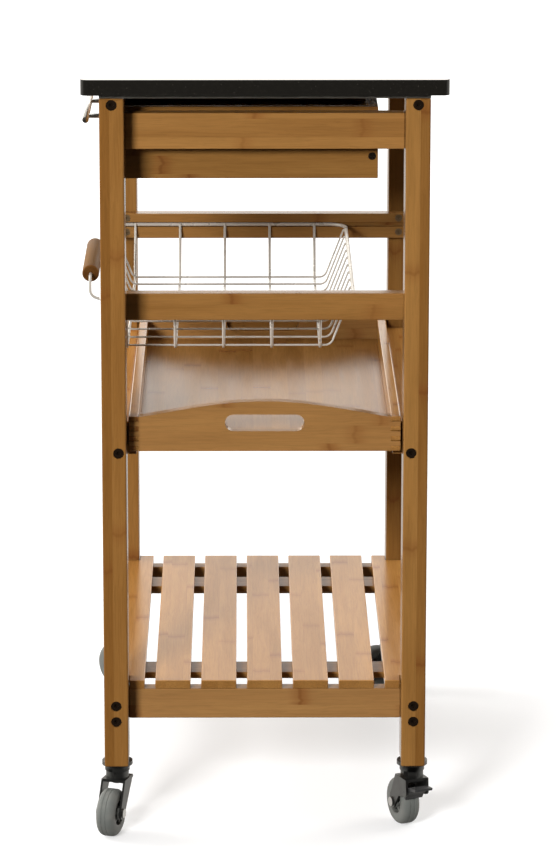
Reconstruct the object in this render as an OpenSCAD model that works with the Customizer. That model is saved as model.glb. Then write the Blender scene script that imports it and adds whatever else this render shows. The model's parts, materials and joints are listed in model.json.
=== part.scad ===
// Rolling utility cart: a bamboo frame with a stone top, a drawer, a hanging wire basket,
// a lift-out serving tray, a slatted shelf and four swivel castors.
// Z is up and the floor is at z = 0. X runs from front to back: the drawer opens towards -X.
// Y runs along the cart. Right and left are as seen by someone who faces the drawer, so the
// right end is at -Y. The origin is on the floor, midway between the four legs.

/* [Cart] */
// Height of the stone's upper face above the floor
cart_h = 803; // [800:1:815]
// Length over the outer end faces of the legs
frame_l = 550; // [520:10:600]
// Width over the outer side faces of the legs
frame_w = 334; // [330:2:344]

/* [Worktop] */
// How far the stone stands out past the legs, at each end
stone_over_l = 20; // [10:1:30]
// How far the stone stands out past the legs, at the front and the back
stone_over_w = 18; // [10:1:24]
// Thickness of the stone
stone_t = 16; // [12:1:20]
// Radius of the stone's corners, seen from above
stone_r = 7; // [3:1:15]
// Thickness of the board under the stone
board_t = 6; // [4:1:8]

/* [Legs and rails] */
// Width of a leg, across the cart
leg_w = 25; // [25:1:28]
// Depth of a leg, along the cart
leg_d = 50; // [45:1:55]
// Thickness of every rail
rail_t = 18; // [16:1:20]
// How far the end rails stand back from the legs' end faces
rail_recess = 30; // [25:1:30]
// Height of an end rail under the top
top_end_rail_h = 37; // [30:1:40]
// Height of a long rail under the top
top_long_rail_h = 14; // [14:1:16]

/* [Drawer] */
// Height of the drawer's sides
drawer_h = 74; // [60:1:76]
// Thickness of the drawer's sides
drawer_t = 12; // [10:1:14]
// Thickness of the drawer's front
drawer_front_t = 16; // [12:1:18]
// Depth of the drawer from its front face to its back face
drawer_l = 283; // [240:1:290]
// Length of the drawer's bar handle
pull_l = 150; // [120:2:200]
// Distance between the handle's two posts
pull_pitch = 96; // [64:2:110]

/* [Basket] */
// Height of the rim wire's centre line above the floor
rim_z = 557.5; // [540:0.5:580]
// Length of the rim from front to back
rim_l = 262; // [240:1:265]
// Height of the basket, from its rim to its floor wires
basket_h = 53; // [40:1:70]
// How far each wall leans in, from the rim to the floor
basket_lean = 21; // [10:1:30]
// Number of cross wires
cross_count = 5; // [3:1:7]
// Number of long wires
long_count = 10; // [6:1:12]
// Diameter of the round wooden grip
grip_d = 18; // [14:1:20]
// Length of the round wooden grip
grip_l = 150; // [120:2:170]

/* [Tray] */
// Height of the tray's underside above the floor
tray_z = 408.2; // [380:0.2:440]
// Width of the tray
tray_w = 280; // [260:1:281]
// Height of a tray end at its corners
tray_end_low = 36.8; // [34:0.2:42]
// Height of a tray end at the middle of its arch
tray_end_high = 52.8; // [46:0.2:60]
// Width of the hand slot
slot_w = 82; // [70:2:110]
// Height of the hand slot
slot_h = 17.5; // [16:0.5:22]

/* [Shelf] */
// Height of the slats' undersides above the floor
slat_z = 152; // [150:1:170]
// Number of slats
slat_count = 7; // [7:1:7]
// Distance from the middle of one slat to the next
slat_pitch = 48; // [46:0.5:48]
// Width of a slat
slat_w = 36.8; // [30:0.2:40]
// Thickness of a slat
slat_t = 9; // [7:1:12]

/* [Castors] */
// Height of a castor, from the floor to the leg
castor_h = 76; // [76:1:80]
// Diameter of a wheel
wheel_d = 50; // [46:1:50]
// Width of a tyre
tyre_w = 19; // [16:1:19]
// Distance from the swivel's axis back to the wheel's axle
trail = 21; // [18:1:22]
// Directions that the four castors trail in: front right, front left, back right, back left
castor_yaw = [252, 135, 113, 180]; // [0:1:360]

/* [Hidden] */
$fn = 48;

// Colours
bamboo = [0.62, 0.43, 0.24];
pale_bamboo = [0.74, 0.57, 0.38];
black_stone = [0.10, 0.10, 0.09];
chrome = [0.82, 0.82, 0.80];
black_steel = [0.12, 0.10, 0.09];
grey_rubber = [0.48, 0.50, 0.49];
grey_steel = [0.28, 0.29, 0.28];

// Frame
half_l = frame_l / 2;
half_w = frame_w / 2;
leg_top = cart_h - stone_t - board_t;
leg_x = half_w - leg_w / 2;
leg_y = half_l - leg_d / 2;
leg_inner_x = half_w - leg_w;
leg_inner_y = half_l - leg_d;
end_rail_out = half_l - rail_recess;
end_rail_in = end_rail_out - rail_t;
top_end_rail_z = leg_top - 20 - top_end_rail_h;
top_long_rail_z = leg_top - top_long_rail_h;

// Basket rails: grooved boards across the inner faces of the legs
basket_rail_h = 28;
basket_rail_z = rim_z - 15.5;
basket_rail_in = leg_inner_y - rail_t;
groove_h = 5;
groove_depth = 6.5;

// Tray rails: boards between the legs, with a ledge strip along the foot of each
tray_rail_h = 35;
tray_rail_z = tray_z - 8.2;
tray_rail_x = leg_x - 4.5;
ledge_w = 8.4;
ledge_h = 8;
stop_rail_z = tray_z + 7;
stop_rail_h = 35;
stop_rail_y = end_rail_out + 2;

// Shelf frame
shelf_end_rail_h = 32;
shelf_long_rail_h = 38;
batten_w = 40;
batten_h = 7;
batten_y = 166;

// Leg bolts and their barrel nuts
bolt_head_d = 10.5;
bolt_head_h = 5;
bolt_sink = 1.5;
bolt_d = 6;
bolt_hole_d = 6.5;
bolt_l = leg_d - bolt_sink - bolt_head_h + 24;
hex_key = 4;
nut_d = 10;
nut_l = 14;
nut_reach = 18;
top_bolt = [leg_x, top_long_rail_z + top_long_rail_h / 2];
tray_bolt = [tray_rail_x, tray_z + 5];
shelf_bolt_high = [leg_x, slat_z - 10];
shelf_bolt_low = [leg_x, slat_z - 27];
bolt_spots = [top_bolt, tray_bolt, shelf_bolt_high, shelf_bolt_low];

// Wood screws
screw_d = 4;
screw_head_d = 8;
screw_head_h = 3;
end_screw_l = 50;
basket_screw_l = 40;
runner_screw_l = 25;
drawer_screw_l = 30;

// Drawer
drawer_x = -half_w;
drawer_back_x = drawer_x + drawer_l;
drawer_z = top_long_rail_z - 5 - drawer_h;
drawer_half_y = leg_inner_y - 12;
drawer_front_gap = 3;
runner_h = 10;
runner_z = top_end_rail_z + 5;
runner_bite = 5.5;
runner_in = drawer_half_y - runner_bite;
drawer_groove = 6;
bottom_t = 4;
bottom_z = drawer_z + 6;
bottom_bite = 5;
pull_d = 7;
pull_post_d = 5;
pull_x = drawer_x - 21;
pull_z = drawer_z + drawer_h / 2;

// Basket wires
rim_d = 4;
cross_d = 3;
long_d = 2;
weld = 0.15;
rim_front = -169;
rim_back = rim_front + rim_l;
rim_y = basket_rail_in + rim_d / 2 + 0.2;
rim_r = 20;
bend_r = 9;
floor_z = rim_z - basket_h;
cross_z = floor_z - (cross_d + long_d) / 2 + weld;
cross_pitch = 50.25;
cross_first = -143;
cross_top_y = rim_y - (rim_d + cross_d) / 2 + weld;
cross_foot_y = cross_top_y - basket_lean - 10;
long_reach = 173.5;
long_front = rim_front + (rim_d + long_d) / 2 - weld;
long_back = rim_back - (rim_d + long_d) / 2 + weld;
grip_x = -184;
grip_z = rim_z + 2.5;
grip_wire_in = grip_l / 2 - 15;
grip_wire_y = long_reach * 5 / 9 - 2.2;
grip_drop = 0.5;
grip_wire_fall = 20;
wire_sides = 8;
bend_steps = 5;

// Tray
tray_half_w = tray_w / 2;
tray_end_t = 12;
tray_side_t = 10;
finger_count = 7;
tray_floor_t = 5;
tray_floor_z = tray_z + 6.8;
tray_end_in = end_rail_out - tray_end_t;
slot_z = tray_z + 21.3;
arch_steps = 40;

// Castors
wheel_r = wheel_d / 2;
tyre_round = 6;
tyre_bore_r = 15;
hub_web_w = 9;
hub_boss_r = 7.5;
hub_boss_w = 21;
axle_d = 6;
axle_head_d = 10;
axle_head_h = 1.8;
running_gap = 0.05;
fork_in = 11;
fork_plate_t = 2.2;
fork_out = fork_in + fork_plate_t;
fork_bridge_z = 55;
fork_bridge_t = 3;
fork_cap_r = 12;
fork_top = 65.6;
stem_base_z = 66;
stem_base_r = 13;
stem_flange_r = 16;
stem_flange_t = 4;
stem_d = 11;
stem_l = 35;
kingpin_d = 8;
kingpin_head_r = 6;
kingpin_head_z = 52;
pivot_x = -9;
pivot_z = 44;
pivot_d = 3;
shoe_angle = 57;
shoe_reach = 10.2;
pedal_half_w = 10;

// A block between its lowest and its highest corner
module block(low, high) {
    translate(low) cube(high - low);
}

// Its children, mirrored into the corner of the cart that the two signs name
module corner(front_back, right_left) {
    mirror([front_back < 0 ? 1 : 0, 0, 0])
        mirror([0, right_left < 0 ? 1 : 0, 0]) children();
}

module both_ends() {
    children();
    mirror([0, 1, 0]) children();
}

module front_and_back() {
    children();
    mirror([1, 0, 0]) children();
}

module four_corners() {
    both_ends() front_and_back() children();
}

// Turns a shape that points along +Z so that it points along the named axis
module pointing(axis) {
    turn = axis == "+y" ? [-90, 0, 0] : axis == "-y" ? [90, 0, 0]
        : axis == "+x" ? [0, 90, 0] : [0, -90, 0];
    rotate(turn) children();
}

// ---------- fasteners ----------

module screw_body(length, slack = 0) {
    cylinder(d = screw_head_d + slack, h = screw_head_h);
    cylinder(d = screw_d, h = length);
}

module screw(length) {
    difference() {
        screw_body(length);
        for (turn = [0, 90]) {
            rotate(turn) translate([-2.2, -0.5, -1]) cube([4.4, 1, 2.6]);
        }
    }
}

// The bolts of the back left corner start at the leg's end face and point along -Y
module at_corner_bolts() {
    for (spot = bolt_spots) {
        translate([spot[0], half_l, spot[1]]) pointing("-y") children();
    }
}

module leg_bolt() {
    difference() {
        translate([0, 0, bolt_sink]) cylinder(d = bolt_head_d, h = bolt_head_h);
        translate([0, 0, bolt_sink - 1]) cylinder(d = hex_key / cos(30), h = 4, $fn = 6);
    }
    translate([0, 0, bolt_sink + bolt_head_h]) cylinder(d = bolt_d, h = bolt_l);
}

module bolt_bore() {
    translate([0, 0, -1]) cylinder(d = bolt_head_d + 0.6, h = bolt_sink + bolt_head_h + 1);
    cylinder(d = bolt_hole_d, h = bolt_sink + bolt_head_h + bolt_l + 1);
}

// The barrel nuts of the back left corner lie across their rails
module at_corner_nuts() {
    for (spot = bolt_spots) {
        translate([spot[0], leg_inner_y - nut_reach, spot[1]]) pointing("-x") children();
    }
}

module barrel_nut() {
    difference() {
        translate([0, 0, -nut_l / 2]) cylinder(d = nut_d, h = nut_l);
        rotate([90, 0, 0]) cylinder(d = bolt_d, h = nut_d + 2, center = true);
    }
}

// Each bore is open on the rail's face that looks into the cart
module nut_bore() {
    translate([0, 0, -nut_l / 2]) cylinder(d = nut_d, h = nut_l + rail_t);
}

// The screws of the back left corner: from the leg's side into the end rails, and from
// the basket rail into the leg
module at_corner_end_screws() {
    for (z = [top_end_rail_z + 9.5, top_end_rail_z + top_end_rail_h - 9.5, slat_z - 18.5]) {
        translate([half_w, end_rail_in + rail_t / 2, z]) pointing("-x") children();
    }
}

module at_corner_basket_screws() {
    for (z = [basket_rail_z + 7, basket_rail_z + basket_rail_h - 5]) {
        translate([leg_x - 1.5, basket_rail_in, z]) pointing("+y") children();
    }
}

module at_runner_screws() {
    for (x = [-100, 0, 100]) {
        translate([x, runner_in, runner_z + runner_h / 2]) pointing("+y") children();
    }
}

// The tray's stop rail is at the left end only
module at_stop_screws() {
    for (z = [stop_rail_z + 9.5, stop_rail_z + stop_rail_h - 9.5]) {
        translate([half_w, stop_rail_y + rail_t / 2, z]) pointing("-x") children();
    }
}

module leg_bolts() {
    color(black_steel) four_corners() at_corner_bolts() leg_bolt();
}

module barrel_nuts() {
    color(chrome) four_corners() at_corner_nuts() barrel_nut();
}

module frame_screws() {
    color(chrome) {
        four_corners() at_corner_end_screws() screw(end_screw_l);
        four_corners() at_corner_basket_screws() screw(basket_screw_l);
        both_ends() at_runner_screws() screw(runner_screw_l);
        front_and_back() at_stop_screws() screw(end_screw_l);
    }
}

// ---------- worktop ----------

module stone_top() {
    long = half_l + stone_over_l;
    wide = half_w + stone_over_w;
    color(black_stone) translate([0, 0, cart_h - stone_t]) linear_extrude(stone_t) {
        square([2 * (wide - stone_r), 2 * long], center = true);
        square([2 * wide, 2 * (long - stone_r)], center = true);
        for (x = [-1, 1], y = [-1, 1]) {
            translate([x * (wide - stone_r), y * (long - stone_r)]) circle(stone_r);
        }
    }
}

module top_board() {
    color(bamboo) block([-half_w, -half_l, leg_top], [half_w, half_l, leg_top + board_t]);
}

// ---------- legs and rails ----------

module leg(front_back, right_left) {
    color(bamboo) corner(front_back, right_left) difference() {
        block([leg_inner_x, leg_inner_y, castor_h], [half_w, half_l, leg_top]);
        at_corner_bolts() bolt_bore();
        at_corner_end_screws() screw_body(end_screw_l, 0.2);
        at_corner_basket_screws() screw_body(basket_screw_l, 0.2);
        if (right_left > 0) {
            at_stop_screws() screw_body(end_screw_l, 0.2);
        }
        translate([leg_x, leg_y, castor_h - 1]) cylinder(d = stem_d, h = stem_l + 1);
    }
}

module top_end_rail(right_left) {
    color(bamboo) corner(1, right_left) difference() {
        block([-leg_inner_x, end_rail_in, top_end_rail_z],
            [leg_inner_x, end_rail_out, top_end_rail_z + top_end_rail_h]);
        front_and_back() at_corner_end_screws() screw_body(end_screw_l);
        at_runner_screws() screw_body(runner_screw_l);
    }
}

// A rail that runs along the cart between two legs, with bores for its bolts and nuts
module long_rail(x, z, height) {
    difference() {
        block([x - rail_t / 2, -leg_inner_y, z], [x + rail_t / 2, leg_inner_y, z + height]);
        both_ends() at_corner_bolts() bolt_bore();
        both_ends() at_corner_nuts() nut_bore();
    }
}

module top_long_rails() {
    color(bamboo) front_and_back() long_rail(leg_x, top_long_rail_z, top_long_rail_h);
}

module drawer_runners() {
    color(bamboo) both_ends() difference() {
        block([2 - leg_inner_x, runner_in, runner_z],
            [leg_inner_x - 7, end_rail_in, runner_z + runner_h]);
        at_runner_screws() screw_body(runner_screw_l, 0.2);
    }
}

module basket_rail(right_left) {
    groove_z = rim_z - groove_h / 2;
    color(bamboo) corner(1, right_left) difference() {
        block([-half_w, basket_rail_in, basket_rail_z],
            [half_w, leg_inner_y, basket_rail_z + basket_rail_h]);
        block([-half_w - 1, basket_rail_in - 1, groove_z],
            [half_w + 1, basket_rail_in + groove_depth, groove_z + groove_h]);
        front_and_back() at_corner_basket_screws() screw_body(basket_screw_l, 0.2);
    }
}

module tray_rail(front_back) {
    color(bamboo) corner(front_back, 1) long_rail(tray_rail_x, tray_rail_z, tray_rail_h);
}

module tray_ledges() {
    inner = tray_rail_x - rail_t / 2;
    color(bamboo) front_and_back() block([inner - ledge_w, -leg_inner_y, tray_rail_z],
        [inner, leg_inner_y, tray_rail_z + ledge_h]);
}

module tray_stop_rail() {
    color(bamboo) difference() {
        block([-leg_inner_x, stop_rail_y, stop_rail_z],
            [leg_inner_x, stop_rail_y + rail_t, stop_rail_z + stop_rail_h]);
        front_and_back() at_stop_screws() screw_body(end_screw_l);
    }
}

// ---------- shelf ----------

module shelf_end_rail(right_left) {
    color(bamboo) corner(1, right_left) difference() {
        block([-leg_inner_x, end_rail_in, slat_z - shelf_end_rail_h],
            [leg_inner_x, end_rail_out, slat_z]);
        front_and_back() at_corner_end_screws() screw_body(end_screw_l);
    }
}

module shelf_long_rail(front_back) {
    color(bamboo) corner(front_back, 1)
        long_rail(leg_x, slat_z - shelf_long_rail_h, shelf_long_rail_h);
}

module shelf_battens() {
    reach = leg_x - rail_t / 2;
    color(bamboo) both_ends() block([-reach, batten_y - batten_w / 2, slat_z - batten_h],
        [reach, batten_y + batten_w / 2, slat_z]);
}

// The two outermost slats are notched at their ends, to clear the legs
module shelf_slats() {
    first = -(slat_count - 1) / 2 * slat_pitch;
    color(pale_bamboo) for (i = [0:slat_count - 1]) {
        x = first + i * slat_pitch;
        difference() {
            block([x - slat_w / 2, -end_rail_out, slat_z],
                [x + slat_w / 2, end_rail_out, slat_z + slat_t]);
            if (abs(x) + slat_w / 2 > leg_inner_x) {
                four_corners() block([leg_inner_x - 0.5, leg_inner_y - 0.5, slat_z - 1],
                    [half_w + 1, half_l, slat_z + slat_t + 1]);
            }
        }
    }
}

// ---------- drawer ----------

module drawer_front() {
    color(bamboo) difference() {
        block([drawer_x, drawer_front_gap - leg_inner_y, drawer_z - 4],
            [drawer_x + drawer_front_t, leg_inner_y - drawer_front_gap,
                drawer_z + drawer_h + 2]);
        at_pull_screws() screw_body(pull_screw_l(), 0.2);
    }
}

// The screws at the back of the drawer's left side
module at_drawer_back_screws() {
    for (z = [drawer_z + 23, drawer_z + drawer_h - 11]) {
        translate([drawer_back_x - drawer_t / 2, drawer_half_y, z])
            pointing("-y") children();
    }
}

function pull_screw_l() = drawer_front_t + 8;

module at_pull_screws() {
    for (y = [-pull_pitch / 2, pull_pitch / 2]) {
        translate([drawer_x + drawer_front_t, y, pull_z]) pointing("-x") children();
    }
}

module drawer_side(right_left) {
    front = drawer_x + drawer_front_t;
    color(bamboo) corner(1, right_left) difference() {
        block([front, drawer_half_y - drawer_t, drawer_z],
            [drawer_back_x, drawer_half_y, drawer_z + drawer_h]);
        block([front - 1, drawer_half_y - drawer_groove, runner_z - 0.4],
            [drawer_back_x + 1, drawer_half_y + 1, runner_z + runner_h + 0.4]);
        block([front - 1, 0, bottom_z],
            [drawer_back_x + 1, drawer_half_y - drawer_t + bottom_bite, bottom_z + bottom_t]);
        at_drawer_back_screws() screw_body(drawer_screw_l, 0.2);
    }
}

module drawer_back() {
    reach = drawer_half_y - drawer_t;
    color(bamboo) difference() {
        block([drawer_back_x - drawer_t, -reach, bottom_z + bottom_t],
            [drawer_back_x, reach, drawer_z + drawer_h]);
        both_ends() at_drawer_back_screws() screw_body(drawer_screw_l);
    }
}

module drawer_bottom() {
    reach = drawer_half_y - drawer_t + bottom_bite;
    color(pale_bamboo) block([drawer_x + drawer_front_t, -reach, bottom_z],
        [drawer_back_x, reach, bottom_z + bottom_t]);
}

module drawer_handle() {
    color(chrome) difference() {
        union() {
            translate([pull_x, -pull_l / 2, pull_z]) pointing("+y")
                cylinder(d = pull_d, h = pull_l);
            for (y = [-pull_pitch / 2, pull_pitch / 2]) {
                translate([drawer_x, y, pull_z]) pointing("-x")
                    cylinder(d = pull_post_d, h = drawer_x - pull_x);
            }
        }
        at_pull_screws() cylinder(d = screw_d, h = pull_screw_l());
    }
}

module drawer_screws() {
    color(black_steel) {
        both_ends() at_drawer_back_screws() screw(drawer_screw_l);
        at_pull_screws() screw(pull_screw_l());
    }
}

// ---------- basket ----------

function unit(v) = v / norm(v);

// The points of an arc that rounds a path's corner on the radius bend_r
function bend(before, corner, after) =
    let (
        u = unit(before - corner),
        v = unit(after - corner),
        half = acos(u * v) / 2,
        centre = corner + unit(u + v) * bend_r / sin(half),
        out = corner + u * bend_r / tan(half) - centre
    )
    [for (j = [0:bend_steps]) let (turned = j / bend_steps * (180 - 2 * half))
        centre + out * cos(turned) - u * bend_r * sin(turned)];

// The path of a wire bent into a U with leaning walls, in the XZ plane, with its floor at z = 0
function u_path(span, foot, depth) =
    let (
        top_left = [-span / 2, 0, depth],
        foot_left = [-foot / 2, 0, 0],
        foot_right = [foot / 2, 0, 0],
        top_right = [span / 2, 0, depth]
    )
    concat([top_left], bend(top_left, foot_left, foot_right),
        bend(foot_left, foot_right, top_right), [top_right]);

function heading(path, i) =
    let (last = len(path) - 1)
    unit(path[min(i + 1, last)] - path[max(i - 1, 0)]);

// One direction square to the path at each of its points, carried along without twisting
function normals(path, before, i = 0) =
    i == len(path) ? [] :
    let (t = heading(path, i), n = unit(before - (before * t) * t))
    concat([n], normals(path, n, i + 1));

// A round wire swept along a path, as one solid. The direction square lies across its start.
module wire(path, wire_d, square_on) {
    sides = wire_sides;
    r = wire_d / 2 / cos(180 / sides);
    across = normals(path, square_on);
    rings = [for (i = [0:len(path) - 1], k = [0:sides - 1])
        let (t = heading(path, i), a = 360 * k / sides)
        path[i] + r * (across[i] * cos(a) + cross(t, across[i]) * sin(a))];
    walls = [for (i = [0:len(path) - 2], k = [0:sides - 1]) let (next = (k + 1) % sides)
        [i * sides + k, (i + 1) * sides + k, (i + 1) * sides + next, i * sides + next]];
    start = [[for (k = [0:sides - 1]) k]];
    end = [[for (k = [sides - 1:-1:0]) (len(path) - 1) * sides + k]];
    polyhedron(rings, concat(walls, start, end));
}

module basket_rim() {
    length = rim_back - rim_front;
    color(chrome) translate([(rim_front + rim_back) / 2, 0, rim_z]) {
        for (side = [-1, 1]) {
            translate([rim_r - length / 2, side * rim_y, 0]) pointing("+x")
                cylinder(d = rim_d, h = length - 2 * rim_r);
            translate([side * length / 2, rim_r - rim_y, 0]) pointing("+y")
                cylinder(d = rim_d, h = 2 * (rim_y - rim_r));
        }
        for (side = [-1, 1], end = [-1, 1]) {
            start = side > 0 ? (end > 0 ? 0 : 270) : (end > 0 ? 90 : 180);
            translate([side * (length / 2 - rim_r), end * (rim_y - rim_r), 0]) rotate(start)
                rotate_extrude(angle = 90) translate([rim_r, 0]) circle(d = rim_d);
        }
    }
}

module basket_cross_wires() {
    path = u_path(2 * cross_top_y, 2 * cross_foot_y, rim_z - cross_z + 1);
    color(chrome) for (i = [0:cross_count - 1]) {
        translate([cross_first + i * cross_pitch, 0, cross_z]) rotate(90)
            wire(path, cross_d, [0, 1, 0]);
    }
}

module basket_long_wires() {
    span = long_back - long_front;
    path = u_path(span, span - 2 * basket_lean, rim_z - floor_z + 1);
    color(chrome) for (i = [0:long_count - 1]) {
        y = long_reach * (2 * i / (long_count - 1) - 1);
        translate([(long_front + long_back) / 2, y, floor_z]) wire(path, long_d, [0, 1, 0]);
    }
}

// Each grip wire runs out of the grip's end, down, and back to the front wall of the basket
module basket_grip_wires() {
    inside = [grip_x, grip_wire_in, grip_z];
    turn = [grip_x, grip_wire_y, grip_z];
    low = [grip_x, grip_wire_y, grip_z - grip_wire_fall];
    foot = [long_front + basket_lean * grip_drop, grip_wire_y, rim_z - basket_h * grip_drop];
    color(chrome) both_ends()
        wire(concat([inside], bend(inside, turn, low), bend(turn, low, foot), [foot]), cross_d,
            [1, 0, 0]);
}

module basket_grip() {
    color(bamboo) difference() {
        translate([grip_x, -grip_l / 2, grip_z]) pointing("+y")
            cylinder(d = grip_d, h = grip_l);
        both_ends() translate([grip_x, grip_wire_in, grip_z]) pointing("+y")
            cylinder(d = cross_d, h = grip_l);
    }
}

// ---------- tray ----------

// Height of a tray end at x: level at its corners, with a smooth arch between them
function arch(x) =
    let (u = min(1, abs(x) / (tray_half_w * 0.9)))
    tray_end_low + (tray_end_high - tray_end_low) * (1 - u * u) * (1 - u * u * 0.35);

// The blocks that one set of fingers fills at the tray's back left corner. The sides keep the
// even steps, from the lowest one up, and the ends keep the odd ones.
module finger_blocks(first) {
    step = tray_end_low / finger_count;
    for (k = [first:2:finger_count - 1]) {
        block([tray_half_w - tray_side_t, tray_end_in, tray_z + k * step],
            [tray_half_w + 1, end_rail_out + 1, tray_z + (k + 1) * step]);
    }
}

module tray_end(right_left) {
    outline = concat([[-tray_half_w, 0]],
        [for (i = [0:arch_steps]) let (x = tray_w * (i / arch_steps - 0.5)) [x, arch(x)]],
        [[tray_half_w, 0]]);
    slot_x = (slot_w - slot_h) / 2;
    color(bamboo) corner(1, right_left) difference() {
        translate([0, end_rail_out, tray_z]) rotate([90, 0, 0])
            linear_extrude(tray_end_t) polygon(outline);
        block([-slot_x, tray_end_in - 1, slot_z], [slot_x, half_l, slot_z + slot_h]);
        for (x = [-slot_x, slot_x]) {
            translate([x, tray_end_in - 1, slot_z + slot_h / 2]) pointing("+y")
                cylinder(d = slot_h, h = tray_end_t + 2);
        }
        front_and_back() finger_blocks(0);
    }
}

module tray_sides() {
    color(bamboo) front_and_back() difference() {
        block([tray_half_w - tray_side_t, -end_rail_out, tray_z],
            [tray_half_w, end_rail_out, tray_z + tray_end_low]);
        both_ends() finger_blocks(1);
    }
}

module tray_floor() {
    reach = tray_half_w - tray_side_t;
    color(pale_bamboo) block([-reach, -tray_end_in, tray_floor_z],
        [reach, tray_end_in, tray_floor_z + tray_floor_t]);
}

// ---------- castors ----------

// A castor's own frame has its swivel axis at the origin and trails along +X
module at_castor(i) {
    x = i < 2 ? -leg_x : leg_x;
    y = i % 2 == 0 ? -leg_y : leg_y;
    translate([x, y, 0]) rotate(castor_yaw[i]) children();
}

// Each stem is one turned piece: the kingpin, the bearing, the flange and the pin in the leg
module castor_stems() {
    color(grey_steel) for (i = [0:3]) {
        at_castor(i) {
            translate([0, 0, kingpin_head_z])
                cylinder(r = kingpin_head_r, h = fork_bridge_z - 0.3 - kingpin_head_z);
            translate([0, 0, kingpin_head_z])
                cylinder(d = kingpin_d, h = stem_base_z - kingpin_head_z);
            translate([0, 0, stem_base_z])
                cylinder(r = stem_base_r, h = castor_h - stem_base_z);
            translate([0, 0, castor_h - stem_flange_t])
                cylinder(r = stem_flange_r, h = stem_flange_t);
            translate([0, 0, castor_h]) cylinder(d = stem_d, h = stem_l - 2);
        }
    }
}

// One side plate of a fork, drawn in the castor's XZ plane
module fork_plate(braked) {
    difference() {
        union() {
            polygon([[-12, 58], [13, 58], [27.9, 25.6], [14.2, 23.4]]);
            translate([trail, wheel_r]) circle(7);
            if (braked) {
                polygon([[-13, 58], [-13.9, 45], [-9, 39], [5, 36], [5, 58]]);
                translate([pivot_x, pivot_z]) circle(5);
            }
        }
        translate([trail, wheel_r]) circle(d = axle_d);
        if (braked) {
            translate([pivot_x, pivot_z]) circle(d = pivot_d + 2 * running_gap);
        }
    }
}

module castor_fork(i) {
    braked = i >= 2;
    color(grey_steel) at_castor(i) {
        for (y = [-fork_in, fork_out]) {
            translate([0, y, 0]) rotate([90, 0, 0]) linear_extrude(fork_plate_t)
                fork_plate(braked);
        }
        difference() {
            union() {
                block([-12, -fork_out, fork_bridge_z],
                    [13, fork_out, fork_bridge_z + fork_bridge_t]);
                translate([0, 0, fork_bridge_z])
                    cylinder(r = fork_cap_r, h = fork_top - fork_bridge_z);
            }
            translate([0, 0, fork_bridge_z - 1])
                cylinder(d = kingpin_d + 2 * running_gap, h = fork_top);
        }
    }
}

module at_axle(i) {
    at_castor(i) translate([trail, 0, wheel_r]) pointing("+y") children();
}

module castor_tyre(i) {
    straight = tyre_w / 2 - tyre_round;
    color(grey_rubber) at_axle(i) rotate_extrude() difference() {
        union() {
            translate([tyre_bore_r, -tyre_w / 2])
                square([wheel_r - tyre_round - tyre_bore_r, tyre_w]);
            translate([wheel_r - tyre_round, -straight]) square([tyre_round, 2 * straight]);
            for (y = [-straight, straight]) {
                translate([wheel_r - tyre_round, y]) circle(tyre_round);
            }
        }
        translate([0, -tyre_w]) square([tyre_bore_r, 2 * tyre_w]);
    }
}

module castor_hub(i) {
    color(grey_rubber) at_axle(i) rotate_extrude() {
        bore_r = axle_d / 2 + running_gap;
        translate([bore_r, -hub_web_w / 2]) square([tyre_bore_r - bore_r, hub_web_w]);
        translate([bore_r, -hub_boss_w / 2]) square([hub_boss_r - bore_r, hub_boss_w]);
        translate([tyre_bore_r - 2, -tyre_w / 2]) square([2, tyre_w]);
    }
}

module castor_axle(i) {
    color(chrome) at_axle(i) {
        cylinder(d = axle_d, h = 2 * fork_out, center = true);
        for (side = [-1, 1]) {
            translate([0, 0, side * (fork_out + axle_head_h / 2)])
                cylinder(d = axle_head_d, h = axle_head_h, center = true);
        }
    }
}

// The pedal, the shoe that bears on the tyre, and the pivot pin are one piece
module brake_lever(i) {
    color(grey_steel) at_castor(i) {
        translate([0, pedal_half_w, 0]) rotate([90, 0, 0]) linear_extrude(2 * pedal_half_w)
            union() {
                polygon([[-9, 40.5], [-12, 41.5], [-17.5, 47], [-29, 49.4], [-30, 52.4],
                    [-16.5, 51], [-8, 47.6]]);
                translate([pivot_x, pivot_z]) rotate(-shoe_angle)
                    translate([0, -2]) square([shoe_reach, 4]);
                translate([pivot_x, pivot_z]) circle(4);
            }
        translate([pivot_x, -fork_out, pivot_z]) pointing("+y")
            cylinder(d = pivot_d, h = 2 * fork_out);
    }
}

stone_top();
top_board();
leg(-1, -1);  // leg_front_right
leg(-1, 1);  // leg_front_left
leg(1, -1);  // leg_back_right
leg(1, 1);  // leg_back_left
top_end_rail(-1);  // top_end_rail_right
top_end_rail(1);  // top_end_rail_left
top_long_rails();
drawer_runners();
basket_rail(-1);  // basket_rail_right
basket_rail(1);  // basket_rail_left
tray_rail(-1);  // tray_rail_front
tray_rail(1);  // tray_rail_back
tray_ledges();
tray_stop_rail();
shelf_end_rail(-1);  // shelf_end_rail_right
shelf_end_rail(1);  // shelf_end_rail_left
shelf_long_rail(-1);  // shelf_long_rail_front
shelf_long_rail(1);  // shelf_long_rail_back
shelf_battens();
shelf_slats();
leg_bolts();
barrel_nuts();
frame_screws();
castor_stems();
drawer_front();
drawer_side(-1);  // drawer_side_right
drawer_side(1);  // drawer_side_left
drawer_back();
drawer_bottom();
drawer_handle();
drawer_screws();
basket_rim();
basket_cross_wires();
basket_long_wires();
basket_grip_wires();
basket_grip();
tray_end(-1);  // tray_end_right
tray_end(1);  // tray_end_left
tray_sides();
tray_floor();
castor_fork(0);  // castor_fork_front_right
castor_fork(1);  // castor_fork_front_left
castor_fork(2);  // castor_fork_back_right
castor_fork(3);  // castor_fork_back_left
castor_tyre(0);  // castor_tyre_front_right
castor_tyre(1);  // castor_tyre_front_left
castor_tyre(2);  // castor_tyre_back_right
castor_tyre(3);  // castor_tyre_back_left
castor_hub(0);  // castor_hub_front_right
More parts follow.
